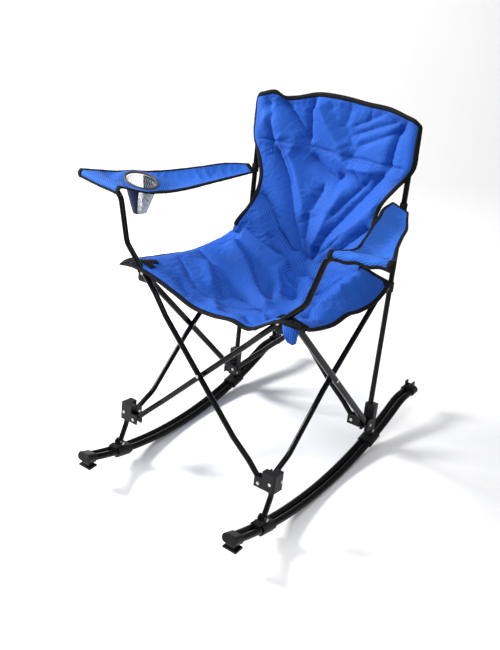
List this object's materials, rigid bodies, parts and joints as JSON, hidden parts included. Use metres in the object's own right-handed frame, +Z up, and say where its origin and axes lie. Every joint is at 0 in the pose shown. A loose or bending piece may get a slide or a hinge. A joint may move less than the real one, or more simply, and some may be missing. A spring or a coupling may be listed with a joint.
{
  "type": "folding camp rocking chair",
  "caption": "Folding tube-frame camp chair with a fabric sling seat, tapering fabric armrests and a cup holder, standing on a pair of curved double-tube rockers.",
  "frame": {"origin": "on the floor, under the middle of the chair's box", "axes": "+Z up, the sitter faces -Y, +X to the sitter's left"},
  "size_m": [0.948, 0.8941, 0.9662],
  "materials": {
    "frame_steel": "gloss black powder coat",
    "hub_plastic": "satin black moulded plastic",
    "rivets": "plain",
    "blue_cloth": "woven, black bound edges",
    "cup_ring": "matte",
    "mesh": "open net"
  },
  "bodies": {
    "centre": {"front_cross_rivet": "rivets"},
    "right_arm": {"right_arm_tube": "frame_steel", "right_arm_plug": "hub_plastic", "right_front_corner_rivet": "rivets", "right_armrest": "blue_cloth", "cup_ring": "cup_ring", "cup_pouch": "mesh"},
    "left_arm": {"left_arm_tube": "frame_steel", "left_arm_plug": "hub_plastic", "left_front_corner_rivet": "rivets", "left_armrest": "blue_cloth"},
    "left_leg": {"left_front_hub": "hub_plastic", "left_front_hub_rivets": "rivets", "left_leg_tube": "frame_steel"},
    "right_leg": {"right_front_hub": "hub_plastic", "right_front_hub_rivets": "rivets", "right_leg_tube": "frame_steel"},
    "right_corner": {"right_front_corner": "hub_plastic"},
    "left_corner": {"left_front_corner": "hub_plastic"},
    "left_inner_brace": {"left_inner_side_brace": "frame_steel", "left_rear_corner_rivet": "rivets"},
    "left_outer_brace": {"left_outer_side_brace": "frame_steel", "left_side_cross_rivet": "rivets", "left_brace_top_pin": "rivets"},
    "left_rear": {"left_rear_hub": "hub_plastic", "left_rear_hub_rivets": "rivets", "left_rear_post": "frame_steel", "left_post_cap": "hub_plastic"},
    "left_rear_sleeve": {"left_rear_corner": "hub_plastic"},
    "left_strut": {"left_rear_strut": "frame_steel", "left_rear_strut_pins": "rivets"},
    "left_rocker": {"left_rocker_inner_tube": "frame_steel", "left_rocker_outer_tube": "frame_steel", "left_rocker_bracket": "hub_plastic", "left_rocker_rivets": "rivets", "left_rocker_front_cap": "hub_plastic", "left_rocker_rear_cap": "hub_plastic"},
    "left_slide_block": {"left_slider": "hub_plastic"},
    "right_inner_brace": {"right_inner_side_brace": "frame_steel", "right_rear_corner_rivet": "rivets"},
    "right_outer_brace": {"right_outer_side_brace": "frame_steel", "right_side_cross_rivet": "rivets", "right_brace_top_pin": "rivets"},
    "right_rear": {"right_rear_hub": "hub_plastic", "right_rear_hub_rivets": "rivets", "right_rear_post": "frame_steel", "right_post_cap": "hub_plastic"},
    "right_rear_sleeve": {"right_rear_corner": "hub_plastic"},
    "right_strut": {"right_rear_strut": "frame_steel", "right_rear_strut_pin": "rivets"},
    "right_rocker": {"right_rocker_inner_tube": "frame_steel", "right_rocker_outer_tube": "frame_steel", "right_rocker_bracket": "hub_plastic", "right_rocker_rivets": "rivets", "right_rocker_front_cap": "hub_plastic", "right_rocker_rear_cap": "hub_plastic"},
    "right_slide_block": {"right_slider": "hub_plastic"},
    "seat": {"seat_sling": "blue_cloth"},
    "back": {"back_panel": "blue_cloth"}
  },
  "joints": [
    {"name": "chair_fold", "type": "hinge", "parent": "centre", "child": "right_arm", "pos_m": [0, -0.23946, 0.36387], "axis": [0, 0.9877, -0.1564], "range_deg": [0, 20], "deforming": ["right_armrest", "cup_ring", "cup_pouch"]},
    {"name": "left_arm_fold", "type": "hinge", "parent": "centre", "child": "left_arm", "pos_m": [0, -0.23946, 0.36387], "axis": [0, 0.9877, -0.1564], "range_deg": [-20, 0], "deforming": ["left_armrest"]},
    {"name": "left_front_hub_pivot", "type": "hinge", "parent": "right_arm", "child": "left_leg", "pos_m": [0.222, -0.27324, 0.15059], "axis": [0, 0.9877, -0.1564], "range_deg": [-20, 0]},
    {"name": "right_front_hub_pivot", "type": "hinge", "parent": "left_arm", "child": "right_leg", "pos_m": [-0.222, -0.27324, 0.15059], "axis": [0, 0.9877, -0.1564], "range_deg": [0, 20]},
    {"name": "right_front_corner_pivot", "type": "hinge", "parent": "right_arm", "child": "right_corner", "pos_m": [-0.222, -0.20567, 0.57715], "axis": [0, 0.9877, -0.1564], "range_deg": [-20, 0]},
    {"name": "left_front_corner_pivot", "type": "hinge", "parent": "left_arm", "child": "left_corner", "pos_m": [0.222, -0.20567, 0.57715], "axis": [0, 0.9877, -0.1564], "range_deg": [0, 20]},
    {"name": "left_front_lower_pivot", "type": "hinge", "parent": "left_leg", "child": "left_inner_brace", "pos_m": [0.242, -0.25329, 0.16149], "axis": [1, 0, 0], "range_deg": [0, 20]},
    {"name": "left_side_cross_pivot", "type": "hinge", "parent": "left_inner_brace", "child": "left_outer_brace", "pos_m": [0.25, -0.00345, 0.33257], "axis": [1, 0, 0], "range_deg": [-40, 0]},
    {"name": "left_rear_lower_pivot", "type": "hinge", "parent": "left_outer_brace", "child": "left_rear", "pos_m": [0.258, 0.1813, 0.09266], "axis": [1, 0, 0], "range_deg": [0, 20]},
    {"name": "left_rear_corner_pivot", "type": "hinge", "parent": "left_inner_brace", "child": "left_rear_sleeve", "pos_m": [0.242, 0.24639, 0.50365], "axis": [1, 0, 0], "range_deg": [-20, 0]},
    {"name": "left_rear_strut_pivot", "type": "hinge", "parent": "left_rear", "child": "left_strut", "pos_m": [0.222, 0.16509, 0.1054], "axis": [0, 0.9877, -0.1564], "range_deg": [0, 20]},
    {"name": "left_rocker_pivot", "type": "hinge", "parent": "left_leg", "child": "left_rocker", "pos_m": [0.258, -0.3085, 0.0735], "axis": [1, 0, 0], "range_deg": [0, 8]},
    {"name": "left_slider_travel", "type": "hinge", "parent": "left_rocker", "child": "left_slide_block", "pos_m": [0.258, -0.02, 1.0495], "axis": [1, 0, 0], "range_deg": [-9.4, 0]},
    {"name": "right_front_lower_pivot", "type": "hinge", "parent": "right_leg", "child": "right_inner_brace", "pos_m": [-0.242, -0.25329, 0.16149], "axis": [1, 0, 0], "range_deg": [0, 20]},
    {"name": "right_side_cross_pivot", "type": "hinge", "parent": "right_inner_brace", "child": "right_outer_brace", "pos_m": [-0.25, -0.00345, 0.33257], "axis": [1, 0, 0], "range_deg": [-40, 0]},
    {"name": "right_rear_lower_pivot", "type": "hinge", "parent": "right_outer_brace", "child": "right_rear", "pos_m": [-0.258, 0.1813, 0.09266], "axis": [1, 0, 0], "range_deg": [0, 20]},
    {"name": "right_rear_corner_pivot", "type": "hinge", "parent": "right_inner_brace", "child": "right_rear_sleeve", "pos_m": [-0.242, 0.24639, 0.50365], "axis": [1, 0, 0], "range_deg": [-20, 0]},
    {"name": "right_rear_strut_pivot", "type": "hinge", "parent": "right_rear", "child": "right_strut", "pos_m": [-0.222, 0.16509, 0.1054], "axis": [0, 0.9877, -0.1564], "range_deg": [-20, 0]},
    {"name": "right_rocker_pivot", "type": "hinge", "parent": "right_leg", "child": "right_rocker", "pos_m": [-0.258, -0.3085, 0.0735], "axis": [1, 0, 0], "range_deg": [0, 8]},
    {"name": "right_slider_travel", "type": "hinge", "parent": "right_rocker", "child": "right_slide_block", "pos_m": [-0.258, -0.02, 1.0495], "axis": [1, 0, 0], "range_deg": [-9.4, 0]},
    {"name": "seat_rise", "type": "slide", "parent": "centre", "child": "seat", "axis": [0, 0.1564, 0.9877], "range_m": [0, 0.06301], "deforming": ["seat_sling"]},
    {"name": "back_follow", "type": "slide", "parent": "seat", "child": "back", "axis": [0, -0.8853, -0.4649], "range_m": [0, 0.21081], "deforming": ["back_panel"]}
  ],
  "couplings": [
    {"joint": "left_arm_fold", "follows": "chair_fold", "ratio": -1},
    {"joint": "left_front_hub_pivot", "follows": "chair_fold", "ratio": -1},
    {"joint": "right_front_hub_pivot", "follows": "chair_fold", "ratio": 1},
    {"joint": "right_front_corner_pivot", "follows": "chair_fold", "ratio": -1},
    {"joint": "left_front_corner_pivot", "follows": "chair_fold", "ratio": 1},
    {"joint": "left_front_lower_pivot", "follows": "chair_fold", "ratio": 1},
    {"joint": "left_side_cross_pivot", "follows": "chair_fold", "ratio": -2},
    {"joint": "left_rear_lower_pivot", "follows": "chair_fold", "ratio": 1},
    {"joint": "left_rear_corner_pivot", "follows": "chair_fold", "ratio": -1},
    {"joint": "left_rear_strut_pivot", "follows": "chair_fold", "ratio": 1},
    {"joint": "left_rocker_pivot", "follows": "chair_fold", "ratio": 0.4},
    {"joint": "left_slider_travel", "follows": "chair_fold", "ratio": -0.47},
    {"joint": "right_front_lower_pivot", "follows": "chair_fold", "ratio": 1},
    {"joint": "right_side_cross_pivot", "follows": "chair_fold", "ratio": -2},
    {"joint": "right_rear_lower_pivot", "follows": "chair_fold", "ratio": 1},
    {"joint": "right_rear_corner_pivot", "follows": "chair_fold", "ratio": -1},
    {"joint": "right_rear_strut_pivot", "follows": "chair_fold", "ratio": -1},
    {"joint": "right_rocker_pivot", "follows": "chair_fold", "ratio": 0.4},
    {"joint": "right_slider_travel", "follows": "chair_fold", "ratio": -0.47},
    {"joint": "seat_rise", "follows": "chair_fold", "m_per_rad": 0.18048},
    {"joint": "back_follow", "follows": "chair_fold", "m_per_rad": 0.6039}
  ]
}
